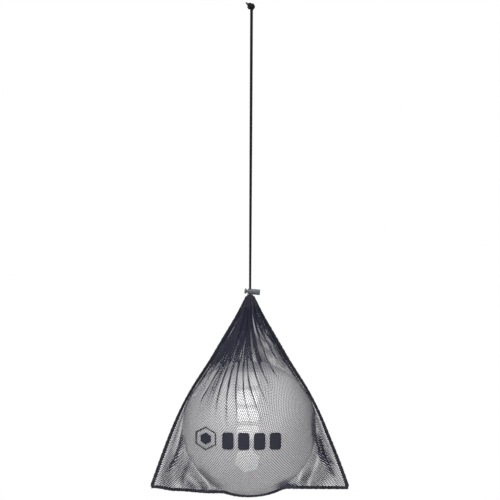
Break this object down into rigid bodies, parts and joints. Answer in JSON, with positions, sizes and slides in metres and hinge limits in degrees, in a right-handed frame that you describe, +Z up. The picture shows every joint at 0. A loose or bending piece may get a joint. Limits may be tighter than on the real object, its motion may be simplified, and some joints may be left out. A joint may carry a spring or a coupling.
{
  "type": "mesh ball bag",
  "caption": "Drawstring mesh pouch with bound side and bottom seams, hung from a doubled knotted drawcord with a sprung cord lock, and a ball inside.",
  "frame": {"origin": "top of the knot that joins the two ends of the drawcord, where the bag is hung up", "axes": "+Z up along the hanging drawcord; the front of the bag faces -Y; +X is to the right seen from the front"},
  "size_m": [0.3208, 0.2246, 0.8105],
  "materials": {
    "drawcord": "matte",
    "lock_plastic": "satin",
    "spring_steel": "satin",
    "mesh_fabric": "matte",
    "binding_tape": "matte",
    "ball_cover": "satin",
    "bladder_rubber": "matte"
  },
  "bodies": {
    "knot": {"end_knot": "drawcord"},
    "drawcord": {"cord_strand_a": "drawcord", "cord_strand_b": "drawcord"},
    "lock": {"lock_barrel": "lock_plastic", "lock_spring": "spring_steel"},
    "plunger": {"lock_plunger": "lock_plastic"},
    "bag": {"front_hem": "mesh_fabric", "back_hem": "mesh_fabric", "drawcord_loop": "drawcord", "front_panel": "mesh_fabric", "back_panel": "mesh_fabric", "left_binding": "binding_tape", "right_binding": "binding_tape", "bottom_binding": "binding_tape"},
    "ball": {"ball_cover": "ball_cover", "ball_bladder": "bladder_rubber", "ball_valve": "bladder_rubber"}
  },
  "joints": [
    {"name": "bag_swing", "type": "hinge", "parent": "knot", "child": "drawcord", "pos_m": [0, 0, -0.0061], "axis": [0, 1, 0], "range_deg": [-45, 45]},
    {"name": "bag_twist", "type": "hinge", "parent": "drawcord", "child": "bag", "pos_m": [0, 0, -0.4775], "axis": [0, 0, 1], "range_deg": [-180, 180]},
    {"name": "ball_spin", "type": "hinge", "parent": "bag", "child": "ball", "pos_m": [0, 0, -0.6935], "axis": [0, 0, 1], "continuous": true},
    {"name": "lock_slide", "type": "slide", "parent": "drawcord", "child": "lock", "axis": [0, 0, 1], "range_m": [0, 0.44]},
    {"name": "plunger_press", "type": "slide", "parent": "lock", "child": "plunger", "axis": [0.9962, 0, -0.0872], "range_m": [0, 0.002], "stiffness_N_per_m": 1000, "springref_m": -0.003, "deforming": ["lock_spring"]}
  ]
}
